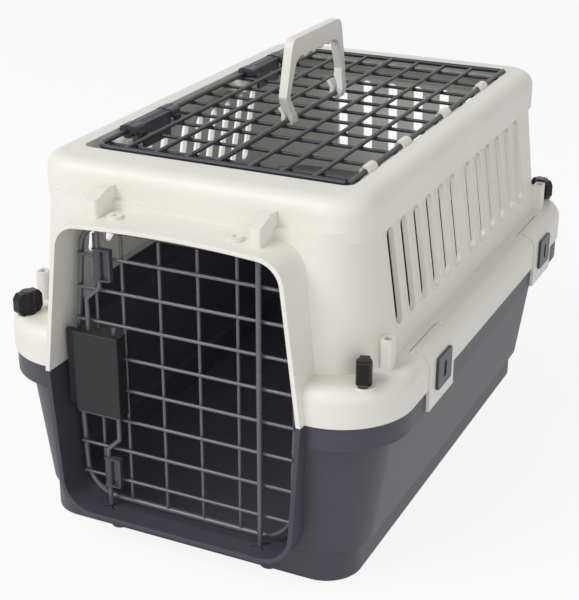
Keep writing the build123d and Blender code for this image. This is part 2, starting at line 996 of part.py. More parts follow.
def wing_nut(side, end):
    """Two-winged nut with a blind bore for its stud."""
    x, y = stud_position(side, end)
    half = wing_length / 2
    waist = wing_waist / 2
    crown = wing_crown / 2
    profile = Polyline(
        (-waist, 0),
        (waist, 0),
        (half, wing_low),
        (half, wing_high),
        (crown, wing_height),
        (-crown, wing_height),
        (-half, wing_high),
        (-half, wing_low),
        close=True,
    )
    paddle = extrude(make_face(Plane.XZ * profile), wing_thickness / 2, both=True)
    paddle = fillet(paddle.edges().filter_by(Axis.Y), wing_corner)
    hub = upright(wing_hub_radius, 0, 0, 0, wing_height + wing_hub_rise)
    nut = paddle + fillet(top_edges(hub), wing_corner)
    bore = stud_radius + running_clearance
    nut = nut - upright(bore, 0, 0, -1, stud_top - flange_top)
    turn = wing_turns[(side, end)]
    return Pos(x, y, flange_top + touch_gap) * Rot(0, 0, turn) * nut


# Front door

def door_outline():
    top = door_frame_top_half_width
    seam = door_frame_seam_half_width
    foot = door_frame_foot_half_width
    line = Polyline(
        (-top, door_frame_top),
        (-seam, parting_height),
        (-foot, door_frame_foot),
        (foot, door_frame_foot),
        (seam, parting_height),
        (top, door_frame_top),
        close=True,
    )
    face = make_face(line)
    low = [v for v in face.vertices() if v.Y < parting_height - 1]
    face = fillet(low, door_frame_foot_corner)
    high = [v for v in face.vertices() if v.Y > door_frame_top - 1]
    face = fillet(high, door_frame_top_corner)
    seam = [v for v in face.vertices() if abs(v.Y - parting_height) < 1]
    face = fillet(seam, door_frame_side_bend)
    return Plane.XZ.offset(-door_plane_y) * face


def door_frame_rod():
    path = door_outline().face().outer_wire()
    section = Plane(origin=path @ 0, z_dir=path % 0) * Circle(door_frame_radius)
    return sweep(section, path=path)


def door_wire_heights():
    half = (door_wire_count - 1) / 2
    return [parting_height + (i - half) * door_wire_pitch for i in range(door_wire_count)]


def door_half_width_at(height):
    """Half-width of the door frame's centre line at a height."""
    if height > parting_height:
        share = (height - parting_height) / (door_frame_top - parting_height)
        return door_frame_seam_half_width + share * (
            door_frame_top_half_width - door_frame_seam_half_width
        )
    share = (parting_height - height) / (parting_height - door_frame_foot)
    return door_frame_seam_half_width + share * (
        door_frame_foot_half_width - door_frame_seam_half_width
    )


def door_horizontal_wires():
    wires = []
    for height in door_wire_heights():
        half = door_half_width_at(height) + 0.5
        wires.append(across(wire_radius, wire_front_y, height, -half, half))
    return wires


def door_vertical_wires():
    low = door_frame_foot + door_frame_radius + weld_gap
    high = door_frame_top - door_frame_radius - weld_gap
    places = [door_guide_upright_x]
    places += [door_upright_start + i * door_upright_pitch for i in range(door_uprights)]
    guide_low = low + 5
    wires = [upright(wire_radius, places[0], upright_y, guide_low, high - 2)]
    for x in places[1:]:
        wires.append(upright(wire_radius, x, upright_y, low, high))
    return wires


def door_hinge_rod():
    low = socket_cup_floor + socket_floor_thickness + slide_clearance
    high = gusset_front_top - socket_roof - socket_end_gap
    return upright(door_rod_radius, door_hinge_x, rod_plane_y, low, high)


latch_box_back = door_plane_y + door_frame_radius
plate_back = latch_box_back + touch_gap + latch_plate_thickness


def grown_wires():
    """Door wires with room round them, open toward the back."""
    room = wire_radius + touch_gap
    grown = []
    for height in door_wire_heights():
        grown.append(
            block(-120, 0, wire_front_y - room, latch_box_back + 5, height - room, height + room)
        )
    for x in (door_guide_upright_x, door_upright_start):
        grown.append(
            block(x - room, x + room, upright_y - room, latch_box_back + 5, 0, past_all)
        )
    return grown


def latch_housing():
    body = block(
        latch_box_left,
        latch_box_right,
        latch_box_front,
        latch_box_back,
        latch_box_low,
        latch_box_high,
    )
    body = fillet(body.edges().sort_by(Axis.Y)[:4], 1.0)
    wing_back = wire_front_y - wire_radius - weld_gap
    wing = block(
        latch_wing_left,
        latch_box_left + 1,
        wing_back - latch_wing_depth,
        wing_back,
        latch_box_low + 2,
        latch_box_high - 2,
    )
    hollow = block(
        latch_box_left + latch_box_wall,
        latch_box_right - latch_box_wall,
        latch_box_front + latch_box_wall,
        latch_box_back + 1,
        latch_box_low + latch_box_wall,
        latch_box_high - latch_box_wall,
    )
    body = body + wing - hollow
    middle = (latch_box_low + latch_box_high) / 2
    for x in latch_screw_xs:
        post = Pos(x, (latch_box_front + latch_box_back) / 2 + 0.5, middle) * Rot(90, 0, 0)
        body = body + post * Cylinder(latch_post_radius, latch_box_back - latch_box_front - 1)
        bore = Pos(x, latch_box_back, middle) * Rot(90, 0, 0)
        body = body - bore * Cylinder(latch_screw_radius + stud_fit, 20)
    for wire in grown_wires():
        body = body - wire
    rod_bore = latch_rod_radius + running_clearance
    body = body - upright(rod_bore, upper_rod_grip_x, rod_plane_y, middle, past_all)
    body = body - upright(rod_bore, lower_rod_grip_x, rod_plane_y, 0, past_all)
    return body


def latch_back_plate():
    back = block(
        latch_box_left - 5,
        latch_box_right,
        latch_box_back + touch_gap,
        plate_back,
        latch_box_low,
        latch_box_high,
    )
    back = fillet(back.edges().filter_by(Axis.Y), 3.0)
    middle = (latch_box_low + latch_box_high) / 2
    for x in latch_screw_xs:
        hole = Pos(x, plate_back, middle) * Rot(90, 0, 0)
        back = back - hole * Cylinder(latch_screw_radius + stud_fit, 20)
    return back


def latch_screws():
    middle = (latch_box_low + latch_box_high) / 2
    screws = []
    for x in latch_screw_xs:
        shank = Pos(x, plate_back - 4, middle) * Rot(90, 0, 0) * Cylinder(latch_screw_radius, 8)
        head_y = plate_back + latch_screw_head_height / 2 + 0.02
        head = Pos(x, head_y, middle) * Rot(90, 0, 0)
        head = head * Cylinder(latch_screw_head_radius, latch_screw_head_height)
        neck = Pos(x, plate_back, middle) * Rot(90, 0, 0) * Cylinder(latch_screw_radius, 0.4)
        screws.append(shank + neck + head)
    return screws


def rod_sleeve(low):
    """Tube for a latch rod, with a side wall, a web along the wires and two end plates."""
    high = low + sleeve_length
    front = rod_plane_y - sleeve_tube_radius
    back = wire_front_y - wire_radius - weld_gap
    left = latch_bolt_x - sleeve_tube_radius
    right = latch_bolt_x + sleeve_far_side
    reach = block(left, right, front, back, low, high)
    body = upright(sleeve_tube_radius, latch_bolt_x, rod_plane_y, low, high) & reach
    body = body + block(latch_bolt_x, right, back - sleeve_web, back, low, high)
    body = body + block(
        right - sleeve_side_wall, right, front + sleeve_side_setback, back, low, high
    )
    for z in (low, high - sleeve_end_plate):
        plate = block(left, right, front, back, z, z + sleeve_end_plate)
        plate = fillet(plate.edges().filter_by(Axis.Z).sort_by(Axis.Y)[:2], 1.6)
        body = body + plate
    bore = latch_rod_radius + running_clearance
    body = body - upright(bore, latch_bolt_x, rod_plane_y, low - 1, high + 1)
    half = sleeve_channel / 2
    return body - block(
        latch_bolt_x - half, latch_bolt_x + half, rod_plane_y, back + 1, low - 1, high + 1
    )


upper_bolt_tip = roof_height_at(latch_bolt_x) - bolt_mouth_gap
lower_bolt_tip = doorway_floor_height + bolt_mouth_gap


def bent_rod(bolt_tip, bend_height, grip_x, grip_end):
    """Latch rod with a slanted step between its bolt and its grip."""
    toward = 1 if bolt_tip > bend_height else -1
    points = [
        (latch_bolt_x, rod_plane_y, bolt_tip),
        (latch_bolt_x, rod_plane_y, bend_height + toward * rod_bend_half_rise),
        (grip_x, rod_plane_y, bend_height - toward * rod_bend_half_rise),
        (grip_x, rod_plane_y, grip_end),
    ]
    path = FilletPolyline(*points, radius=2.5)
    section = Plane(origin=points[0], z_dir=(0, 0, -toward)) * Circle(latch_rod_radius)
    return sweep(section, path=path)


# Roof lid

def lid_frame():
    """Rod bent round three sides of the hatch."""
    end_x = lid_hinge_x - lid_rod_radius - weld_gap
    points = [
        (end_x, lid_front_y, lid_rod_height),
        (lid_side_x, lid_front_y, lid_rod_height),
        (lid_side_x, lid_back_y, lid_rod_height),
        (end_x, lid_back_y, lid_rod_height),
    ]
    path = FilletPolyline(*points, radius=9)
    section = Plane(origin=points[0], z_dir=(-1, 0, 0)) * Circle(lid_rod_radius)
    return sweep(section, path=path)


def lid_hinge_rod():
    y0 = lid_front_y - lid_hinge_overrun
    y1 = lid_back_y + lid_hinge_overrun
    return lengthwise(lid_rod_radius, lid_hinge_x, lid_rod_height, y0, y1)


lid_bar_front = lid_front_y + lid_rod_radius + weld_gap
lid_bar_back = lid_back_y - lid_rod_radius - weld_gap


def lid_long_bars():
    bars = []
    for i in range(1, lid_bars_each_side + 1):
        for side in (-1, 1):
            bars.append(
                lengthwise(
                    lid_bar_radius, side * i * lid_bar_pitch, lid_height, lid_bar_front, lid_bar_back
                )
            )
    return bars


def lid_handle_bar():
    return lengthwise(
        lid_handle_bar_radius, 0, handle_bar_height, lid_bar_front + 0.5, lid_bar_back - 0.5
    )


def under_lid_latch(y):
    return any(
        start - lid_wire_radius - 1 < y < start + lid_latch_length + lid_wire_radius + 1
        for start in lid_latch_starts
    )


def lid_cross_wires():
    wires = []
    for y in cross_wire_places():
        left = lid_side_x - lid_wire_past_frame
        if under_lid_latch(y):
            left = lid_side_x + lid_wire_under_latch
        right = lid_hinge_x + lid_wire_past_hinge
        wires.append(across(lid_wire_radius, y, lid_wire_height, left, right))
    return wires


def hook_sector(start, end, reach):
    """Wedge seen along the carrier, turned from +X toward +Z."""
    steps = 6
    points = [(0, 0)]
    for i in range(steps + 1):
        angle = math.radians(start + (end - start) * i / steps)
        points.append((reach * math.cos(angle), reach * math.sin(angle)))
    return make_face(Plane.XZ * Polyline(*points, close=True))


def lid_hook(y):
    inner = math.hypot(lid_lug_reach, lid_rod_height - lug_low) + lid_hook_gap
    outer = inner + lid_hook_thickness
    ring = Rot(90, 0, 0) * (Cylinder(outer, lid_hook_width) - Cylinder(inner, lid_hook_width))
    claw = extrude(hook_sector(lid_hook_start, lid_hook_end, 30), lid_hook_width, both=True) & ring
    disc = Rot(90, 0, 0) * Cylinder(outer, lid_hook_width)
    arm = extrude(hook_sector(lid_hook_arm_start, lid_hook_end, 30), lid_hook_width, both=True) & disc
    return Pos(lid_side_x, y, lid_rod_height) * (claw + arm)


def latch_bar(left, right, drop, rise, y0, y1):
    """Box round the lid's side rod between two places along it."""
    return block(
        lid_side_x - left, lid_side_x + right, y0, y1, lid_rod_height - drop, lid_rod_height + rise
    )


def lid_latch(start):
    """Grip that turns on the lid's side rod, with a hook near each end."""
    end = start + lid_latch_length
    grip_start = start + lid_latch_cap_length
    grip_end = end - lid_latch_cap_length
    body = lengthwise(lid_latch_radius, lid_side_x, lid_rod_height, start, end)
    body = body + latch_bar(
        lid_latch_grip_left,
        lid_latch_grip_right,
        lid_latch_grip_drop,
        lid_latch_grip_rise,
        grip_start,
        grip_end,
    )
    skirt_left = lid_latch_skirt - lid_latch_grip_right
    body = body + latch_bar(
        skirt_left,
        lid_latch_grip_right,
        lid_latch_skirt_drop,
        0,
        start + lid_lug_length + 1,
        end - lid_lug_length - 1,
    )
    for y0, y1 in ((start, grip_start), (grip_end, end)):
        cap = latch_bar(
            lid_latch_cap_left,
            lid_latch_cap_right,
            lid_latch_cap_drop,
            lid_latch_cap_rise,
            y0,
            y1,
        )
        cap = fillet(cap.edges().filter_by(Axis.Y).sort_by(Axis.Z)[-2:], lid_latch_cap_edge)
        body = body + cap + lengthwise(lid_latch_cap_radius, lid_side_x, lid_rod_height, y0, y1)
    for y in (start + lid_lug_length / 2, end - lid_lug_length / 2):
        body = body + lid_hook(y)
    bore = lid_rod_radius + running_clearance
    return body - lengthwise(bore, lid_side_x, lid_rod_height, start - 1, end + 1)


# Carrying handle

def clip_section(points, y):
    """Solid with the given outline across the handle bar, one clip wide."""
    outline = Polyline(*[(x, handle_bar_height + z) for x, z in points], close=True)
    solid = extrude(make_face(Plane.XZ * outline), clip_width / 2, both=True)
    return Pos(0, y, 0) * solid


def clip_bore(y):
    bore = lid_handle_bar_radius + running_clearance
    y0 = y - clip_width / 2 - clip_relief
    y1 = y + clip_width / 2 + clip_relief
    return lengthwise(bore, 0, handle_bar_height, y0, y1)


def side_outline(points, top_corner, shoulder_corner):
    """Face seen from the side with its highest two corners and the next two rounded."""
    face = make_face(Plane.YZ * Polyline(*points, close=True))
    face = fillet(face.vertices().sort_by(Axis.Z)[-2:], top_corner)
    shoulders = [v for v in face.vertices() if abs(v.Z - points[1][1]) < 0.01]
    return fillet(shoulders, shoulder_corner)


def carry_handle():
    foot = handle_bar_height
    half_clip = clip_width / 2
    clips = (handle_clip_front_y, handle_clip_back_y)
    under_grip = handle_top - handle_grip_height
    leg = handle_leg_width
    outer = [
        (clips[0] - half_clip, foot - 1),
        (handle_front_y, handle_shoulder_height),
        (handle_top_front_y, handle_top),
        (handle_top_back_y, handle_top),
        (handle_back_y, handle_shoulder_height),
        (clips[1] + half_clip, foot - 1),
    ]
    inner = [
        (clips[0] + half_clip, foot - 2),
        (handle_front_y + leg, handle_shoulder_height),
        (handle_top_front_y + leg, under_grip),
        (handle_top_back_y - leg, under_grip),
        (handle_back_y - leg, handle_shoulder_height),
        (clips[1] - half_clip, foot - 2),
    ]
    wide = 2 * (handle_right_x - handle_left_x)
    body = extrude(side_outline(outer, handle_outer_corner, handle_shoulder_corner), wide, both=True)
    window = side_outline(inner, handle_inner_corner, handle_shoulder_corner)
    body = body - extrude(window, 2 * wide, both=True)
    seen_from_front = Polyline(*[(x, foot + z) for x, z in clip_leg], close=True)
    body = body & extrude(make_face(Plane.XZ * seen_from_front), overall_length / 2, both=True)
    middle = (handle_top_front_y + handle_top_back_y) / 2
    for i in range(grip_scallops):
        y = middle + (i - (grip_scallops - 1) / 2) * grip_scallop_pitch
        scallop = Pos(0, y, under_grip - grip_scallop_radius + grip_scallop_depth)
        body = body - scallop * Rot(0, 90, 0) * Cylinder(grip_scallop_radius, wide)
    ring_radius = lid_handle_bar_radius + running_clearance + clip_wall
    for y in clips:
        body = body + lengthwise(ring_radius, 0, foot, y - half_clip, y + half_clip)
        body = body + clip_section(clip_finger, y)
    for y in clips:
        body = body - clip_section(clip_mouth, y) - clip_bore(y)
    return body


def main():
    os.makedirs("parts", exist_ok=True)
    save("base_shell", base_shell())
    save("upper_shell", upper_shell())
    save("corner_studs", *corner_studs())
    pins = []
    for i, end in enumerate(("front", "rear")):
        centre = flap_centres[i]
        pins += both_sides(flap_pin(centre, flap_pin_radius))
        for side, flap in zip(("right", "left"), both_sides(side_flap(centre))):
            save(f"side_flap_{side}_{end}", flap)
        for side, slider in zip(("right", "left"), both_sides(side_slider(centre))):
            save(f"side_slider_{side}_{end}", slider)
        save(f"lid_latch_{end}", lid_latch(lid_latch_starts[i]))
        for turn, side in ((1, "right"), (-1, "left")):
            save(f"wing_nut_{side}_{end}", wing_nut(turn, -1 if end == "front" else 1))
    save("flap_hinge_pins", *pins)
    save("door_frame_rod", door_frame_rod())
    save("door_horizontal_wires", *door_horizontal_wires())
    save("door_vertical_wires", *door_vertical_wires())
    save("door_hinge_rod", door_hinge_rod())
    save("latch_housing", latch_housing())
    save("latch_back_plate", latch_back_plate())
    save("latch_screws", *latch_screws())
    save("upper_rod_sleeve", rod_sleeve(upper_sleeve_low))
    save("lower_rod_sleeve", rod_sleeve(lower_sleeve_low))
    save(
        "upper_latch_rod",
        bent_rod(upper_bolt_tip, upper_bend_height, upper_rod_grip_x, upper_rod_end),
    )
    save(
        "lower_latch_rod",
        bent_rod(lower_bolt_tip, lower_bend_height, lower_rod_grip_x, lower_rod_end),
    )
    save("lid_frame", lid_frame())
    save("lid_hinge_rod", lid_hinge_rod())
    save("lid_long_bars", *lid_long_bars())
    save("lid_cross_wires", *lid_cross_wires())
    save("lid_handle_bar", lid_handle_bar())
    save("carry_handle", carry_handle())


main()
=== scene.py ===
import bpy
import bmesh
import json
import math
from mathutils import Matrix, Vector


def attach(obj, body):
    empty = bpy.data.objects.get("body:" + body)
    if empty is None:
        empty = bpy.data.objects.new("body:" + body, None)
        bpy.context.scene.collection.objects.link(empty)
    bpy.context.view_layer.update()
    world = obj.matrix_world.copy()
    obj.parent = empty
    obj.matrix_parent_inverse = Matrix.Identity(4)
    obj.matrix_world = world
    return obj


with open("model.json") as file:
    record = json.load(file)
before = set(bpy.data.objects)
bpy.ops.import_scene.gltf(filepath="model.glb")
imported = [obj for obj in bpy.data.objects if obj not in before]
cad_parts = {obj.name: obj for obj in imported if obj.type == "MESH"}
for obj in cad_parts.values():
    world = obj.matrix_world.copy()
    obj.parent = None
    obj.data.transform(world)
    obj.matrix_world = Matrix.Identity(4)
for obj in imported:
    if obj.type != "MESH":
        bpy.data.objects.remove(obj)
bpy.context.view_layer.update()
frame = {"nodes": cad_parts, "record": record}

mm = 0.001
nodes = frame["nodes"]
scene = bpy.context.scene
print("frame loaded:", len(nodes), "nodes")


def toLinear(hexText):
    channels = [int(hexText[i:i + 2], 16) / 255 for i in (0, 2, 4)]
    linear = [c / 12.92 if c <= 0.04045 else ((c + 0.055) / 1.055) ** 2.4 for c in channels]
    return (*linear, 1.0)


def addNode(tree, kind, inputs=None, **settings):
    node = tree.nodes.new(kind)
    for name, value in settings.items():
        setattr(node, name, value)
    for key, value in (inputs or {}).items():
        if isinstance(value, bpy.types.NodeSocket):
            tree.links.new(value, node.inputs[key])
        else:
            node.inputs[key].default_value = value
    return node


# Plastics: colour drifts slowly over the moulding, the grain is the etched tool's
plastics = {
    "ivoryPolypropylene": dict(
        colour="F2F0EA", drift="EBE8E0", driftMm=70, roughness=0.42, roughnessSwing=0.08,
        grainMm=1.1, grainDepthMm=0.035, edgeMm=0.7, specular=0.45,
    ),  # satin moulded polypropylene, soft highlights
    "slatePolypropylene": dict(
        colour="46464F", drift="404049", driftMm=60, roughness=0.46, roughnessSwing=0.1,
        grainMm=1.2, grainDepthMm=0.05, edgeMm=0.7, specular=0.45,
    ),  # same resin, grey masterbatch, a slightly rougher etch
    "charcoalAbs": dict(
        colour="252628", drift="1F2022", driftMm=25, roughness=0.5, roughnessSwing=0.12,
        grainMm=0.9, grainDepthMm=0.07, edgeMm=0.5, specular=0.4,
    ),  # leather-grained ABS of the door latch, reads matt
    "greyNylon": dict(
        colour="3E4046", drift="36383E", driftMm=18, roughness=0.4, roughnessSwing=0.1,
        grainMm=0.8, grainDepthMm=0.05, edgeMm=0.4, specular=0.5,
    ),  # glass-filled nylon of the roof latches, a dull sheen
    "satinNylon": dict(
        colour="4A4B51", drift="414248", driftMm=15, roughness=0.24, roughnessSwing=0.06,
        grainMm=2.0, grainDepthMm=0.02, edgeMm=0.4, specular=0.5,
    ),  # polished nylon of the rod guides, close to the wires in tone
    "blackAcetal": dict(
        colour="0A0A0B", drift="101011", driftMm=12, roughness=0.13, roughnessSwing=0.04,
        grainMm=2.5, grainDepthMm=0.01, edgeMm=0.6, specular=0.3,
    ),  # polished acetal of the wing nuts, sharp small highlights
}
plasticIor = 1.49
grainStrength = 0.5
grainLow, grainHigh = 0.3, 0.7  # the noise seldom leaves this range
peelStrength = 0.4


def newMaterial(name):
    material = bpy.data.materials.new(name)
    material.use_nodes = True
    tree = material.node_tree
    place = addNode(tree, "ShaderNodeTexCoord").outputs["Object"]
    return material, tree, tree.nodes["Principled BSDF"], place


def noise(tree, place, sizeMm, detail, **more):  # pattern whose spots are about sizeMm across
    inputs = {"Vector": place, "Scale": 1 / (sizeMm * mm), "Detail": detail, **more}
    return addNode(tree, "ShaderNodeTexNoise", inputs).outputs["Fac"]


def tinted(tree, factor, look):  # the look's colour drifting to its second one
    tint = addNode(tree, "ShaderNodeMix", {"Factor": factor}, data_type="RGBA")
    tint.inputs["A"].default_value = toLinear(look["colour"])
    tint.inputs["B"].default_value = toLinear(look["drift"])
    return tint.outputs["Result"]


def mouldedPlastic(name):
    look = plastics[name]
    material, tree, shader, place = newMaterial(name)
    slow = noise(tree, place, look["driftMm"], 2.0)
    grain = noise(tree, place, look["grainMm"], 3.0, Roughness=0.6)
    swing = look["roughnessSwing"] / 2
    sheen = addNode(tree, "ShaderNodeMapRange", {
        "Value": grain, "From Min": grainLow, "From Max": grainHigh,
        "To Min": look["roughness"] - swing, "To Max": look["roughness"] + swing,
    })
    rounded = addNode(tree, "ShaderNodeBevel", {"Radius": look["edgeMm"] * mm}, samples=4)
    bump = addNode(tree, "ShaderNodeBump", {
        "Height": grain, "Normal": rounded.outputs["Normal"],
        "Strength": grainStrength, "Distance": look["grainDepthMm"] * mm,
    })
    tree.links.new(tinted(tree, slow, look), shader.inputs["Base Color"])
    tree.links.new(sheen.outputs["Result"], shader.inputs["Roughness"])
    tree.links.new(bump.outputs["Normal"], shader.inputs["Normal"])
    shader.inputs["Specular IOR Level"].default_value = look["specular"]
    shader.inputs["IOR"].default_value = plasticIor
    return material


# Epoxy powder on steel wire, one coat in two copies: the door's is painted lighter and glossier as
# painted light, the roof's is painted darker as painted shade
wireLooks = {
    "doorWireLit": dict(
        colour="606268", drift="54565C", driftMm=14, smoothest=0.21, roughest=0.34,
        peelMm=2.2, peelDepthMm=0.03, specular=0.55, coat=0.4, coatRoughness=0.2,
    ),
    "lidWireShaded": dict(
        colour="33363B", drift="2B2E33", driftMm=14, smoothest=0.29, roughest=0.42,
        peelMm=2.2, peelDepthMm=0.03, specular=0.35, coat=0.1, coatRoughness=0.2,
    ),
}
# Bright zinc plate on the screws, studs and pins: grey, faintly scratched by handling
steelLook = dict(colour="B9BBBD", drift="A3A6A9", scratchMm=0.6, smoothest=0.26, roughest=0.44)


def coatedWire(name):  # the coat's faint peel breaks up the highlights
    look = wireLooks[name]
    material, tree, shader, place = newMaterial(name)
    slow = noise(tree, place, look["driftMm"], 3.0)
    peel = noise(tree, place, look["peelMm"], 1.0)
    bump = addNode(tree, "ShaderNodeBump", {
        "Height": peel, "Strength": peelStrength, "Distance": look["peelDepthMm"] * mm,
    })
    sheen = addNode(tree, "ShaderNodeMapRange", {
        "Value": slow, "To Min": look["smoothest"], "To Max": look["roughest"],
    })
    tree.links.new(tinted(tree, slow, look), shader.inputs["Base Color"])
    tree.links.new(sheen.outputs["Result"], shader.inputs["Roughness"])
    tree.links.new(bump.outputs["Normal"], shader.inputs["Normal"])
    shader.inputs["Specular IOR Level"].default_value = look["specular"]
    shader.inputs["Coat Weight"].default_value = look["coat"]
    shader.inputs["Coat Roughness"].default_value = look["coatRoughness"]
    return material


def zincSteel():
    material, tree, shader, place = newMaterial("zincPlatedSteel")
    scratch = noise(tree, place, steelLook["scratchMm"], 4.0)
    sheen = addNode(tree, "ShaderNodeMapRange", {
        "Value": scratch, "To Min": steelLook["smoothest"], "To Max": steelLook["roughest"],
    })
    tree.links.new(tinted(tree, scratch, steelLook), shader.inputs["Base Color"])
    tree.links.new(sheen.outputs["Result"], shader.inputs["Roughness"])
    shader.inputs["Metallic"].default_value = 1.0
    return material


finish = {name: mouldedPlastic(name) for name in plastics}
finish.update({name: coatedWire(name) for name in wireLooks})
finish["zinc"] = zincSteel()
slotFinish = {
    "ivory_plastic": "ivoryPolypropylene", "slate_plastic": "slatePolypropylene",
    "coated_wire": "doorWireLit", "charcoal_plastic": "charcoalAbs", "dark_plastic": "greyNylon",
    "black_plastic": "blackAcetal", "steel": "zinc",
}
ownFinish = {"upper_rod_sleeve": "satinNylon", "lower_rod_sleeve": "satinNylon"}
for part in frame["record"]["subparts"]:
    node = part["node"]
    look = ownFinish.get(node, slotFinish[part["material_slot"]])
    # the roof's wires take the darker copy, which is painted shade
    if node.startswith("lid_") and look == "doorWireLit":
        look = "lidWireShaded"
    nodes[node].data.materials.clear()
    nodes[node].data.materials.append(finish[look])
print("finishes on the frame's nodes")


mergeMm = 0.01  # a node's loose triangles are joined at this distance to tell its solids apart


def looseBoxes(node):  # low and high corner of each separate solid in a CAD node
    work = bmesh.new()
    work.from_mesh(nodes[node].data)
    bmesh.ops.transform(work, matrix=nodes[node].matrix_world, verts=work.verts)
    bmesh.ops.remove_doubles(work, verts=work.verts, dist=mergeMm * mm)
    work.verts.ensure_lookup_table()
    seen = set()
    boxes = []
    for first in work.verts:
        if first.index in seen:
            continue
        seen.add(first.index)
        waiting = [first]
        corners = []
        while waiting:
            vert = waiting.pop()
            corners.append(vert.co.copy())
            for edge in vert.link_edges:
                other = edge.other_vert(vert)
                if other.index not in seen:
                    seen.add(other.index)
                    waiting.append(other)
        low = Vector([min(c[i] for c in corners) for i in range(3)])
        high = Vector([max(c[i] for c in corners) for i in range(3)])
        boxes.append((low, high))
    work.free()
    return boxes


def repeatTree():  # one shape copied to every point, with a small random change of size and turn
    tree = bpy.data.node_groups.new("repeatOnPoints", "GeometryNodeTree")
    face = tree.interface
    face.new_socket("Points", in_out="INPUT", socket_type="NodeSocketGeometry")
    sockets = {}
    for name, kind in (
        ("Shape", "NodeSocketObject"), ("Size Swing", "NodeSocketFloat"),
        ("Turn Swing", "NodeSocketFloat"), ("Seed", "NodeSocketInt"), ("Finish", "NodeSocketMaterial"),
    ):
        sockets[name] = face.new_socket(name, in_out="INPUT", socket_type=kind).identifier
    face.new_socket("Geometry", in_out="OUTPUT", socket_type="NodeSocketGeometry")
    given = addNode(tree, "NodeGroupInput").outputs
    seed = given["Seed"]

    def worked(kind, first, second):
        return addNode(tree, "ShaderNodeMath", {0: first, 1: second}, operation=kind).outputs[0]

    def between(low, high):  # a random number for each point
        return addNode(
            tree, "FunctionNodeRandomValue", {2: low, 3: high, "Seed": seed}, data_type="FLOAT"
        ).outputs[1]

    shape = addNode(tree, "GeometryNodeObjectInfo", {"Object": given["Shape"]})
    size = between(worked("SUBTRACT", 1.0, given["Size Swing"]), worked("ADD", 1.0, given["Size Swing"]))
    angle = between(worked("MULTIPLY", given["Turn Swing"], -1.0), given["Turn Swing"])
    turn = addNode(tree, "ShaderNodeCombineXYZ", {"Z": angle})
    points = addNode(tree, "GeometryNodeMeshToPoints", {"Mesh": given["Points"]})
    copies = addNode(tree, "GeometryNodeInstanceOnPoints", {
        "Points": points.outputs[0], "Instance": shape.outputs["Geometry"],
        "Rotation": turn.outputs[0], "Scale": size,
    })
    solid = addNode(tree, "GeometryNodeRealizeInstances", {"Geometry": copies.outputs[0]}).outputs[0]
    dressed = addNode(tree, "GeometryNodeSetMaterial", {"Geometry": solid, "Material": given["Finish"]})
    addNode(tree, "NodeGroupOutput", {"Geometry": dressed.outputs[0]})
    return tree, sockets


repeatGroup, repeatSocket = repeatTree()


def meshObject(name, verts, faces):
    data = bpy.data.meshes.new(name)
    data.from_pydata(verts, [], faces)
    data.update()
    made = bpy.data.objects.new(name, data)
    scene.collection.objects.link(made)
    return made


def repeated(name, shape, points, look, material, body):  # plain mesh of the copies
    holder = meshObject(name + "Points", points, [])
    modifier = holder.modifiers.new("repeat", "NODES")
    modifier.node_group = repeatGroup
    for socket, value in (
        ("Shape", shape), ("Size Swing", look["sizeSwing"]),
        ("Turn Swing", look["turnSwing"]), ("Seed", look["seed"]), ("Finish", finish[material]),
    ):
        modifier[repeatSocket[socket]] = value
    bpy.context.view_layer.update()
    depsgraph = bpy.context.evaluated_depsgraph_get()
    data = bpy.data.meshes.new_from_object(holder.evaluated_get(depsgraph))
    holder.modifiers.remove(modifier)
    bpy.data.objects.remove(holder)
    made = bpy.data.objects.new(name, data)
    scene.collection.objects.link(made)
    data.materials.clear()  # the copies bring an empty slot before their own
    data.materials.append(finish[material])
    for polygon in data.polygons:
        polygon.material_index = 0
        polygon.use_smooth = look.get("smooth", True)
    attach(made, body)


def pillow(name, size, rings, sides):  # closed rounded form with its half sizes in mm
    verts = [(0, 0, -size[2] * mm)]
    for ring in range(1, rings):
        tip = math.pi * (ring / rings - 0.5)
        for side in range(sides):
            turn = 2 * math.pi * side / sides
            verts.append((
                size[0] * mm * math.cos(tip) * math.cos(turn),
                size[1] * mm * math.cos(tip) * math.sin(turn),
                size[2] * mm * math.sin(tip),
            ))
    verts.append((0, 0, size[2] * mm))
    last = len(verts) - 1
    faces = [(0, 1 + (s + 1) % sides, 1 + s) for s in range(sides)]
    for ring in range(rings - 2):
        a = 1 + ring * sides
        b = a + sides
        faces += [(a + s, a + (s + 1) % sides, b + (s + 1) % sides, b + s) for s in range(sides)]
    a = 1 + (rings - 2) * sides
    faces += [(a + s, a + (s + 1) % sides, last) for s in range(sides)]
    return meshObject(name, verts, faces)


def crossings(upper, lower, axis):  # where each bar of one node passes over each bar of the other
    spots = []
    for a in looseBoxes(upper):
        for b in looseBoxes(lower):
            middle = [(max(a[0][i], b[0][i]) + min(a[1][i], b[1][i])) / 2 for i in range(3)]
            flat = [i for i in range(3) if i != axis]
            if all(min(a[1][i], b[1][i]) > max(a[0][i], b[0][i]) for i in flat):
                spots.append(Vector(middle))
    return spots


# Spot welds: the resistance weld leaves a small coated bulge where two wires meet
weld = dict(
    doorHalfMm=(1.5, 1.15, 1.5), lidHalfMm=(1.5, 1.5, 1.2), rings=7, sides=12,
    sizeSwing=0.12, turnSwing=0.5, seed=7,
)
doorNugget = pillow("doorNugget", weld["doorHalfMm"], weld["rings"], weld["sides"])
doorSpots = crossings("door_horizontal_wires", "door_vertical_wires", 1)
doorLook = dict(weld, turnSwing=0.0)  # flattened along the door's depth, so never turned
repeated("doorWeldNuggets", doorNugget, doorSpots, doorLook, "doorWireLit", "door")
lidNugget = pillow("lidNugget", weld["lidHalfMm"], weld["rings"], weld["sides"])
lidSpots = crossings("lid_long_bars", "lid_cross_wires", 2)
repeated("lidWeldNuggets", lidNugget, lidSpots, weld, "lidWireShaded", "lid")
print("spot welds:", len(doorSpots), "door,", len(lidSpots), "lid")

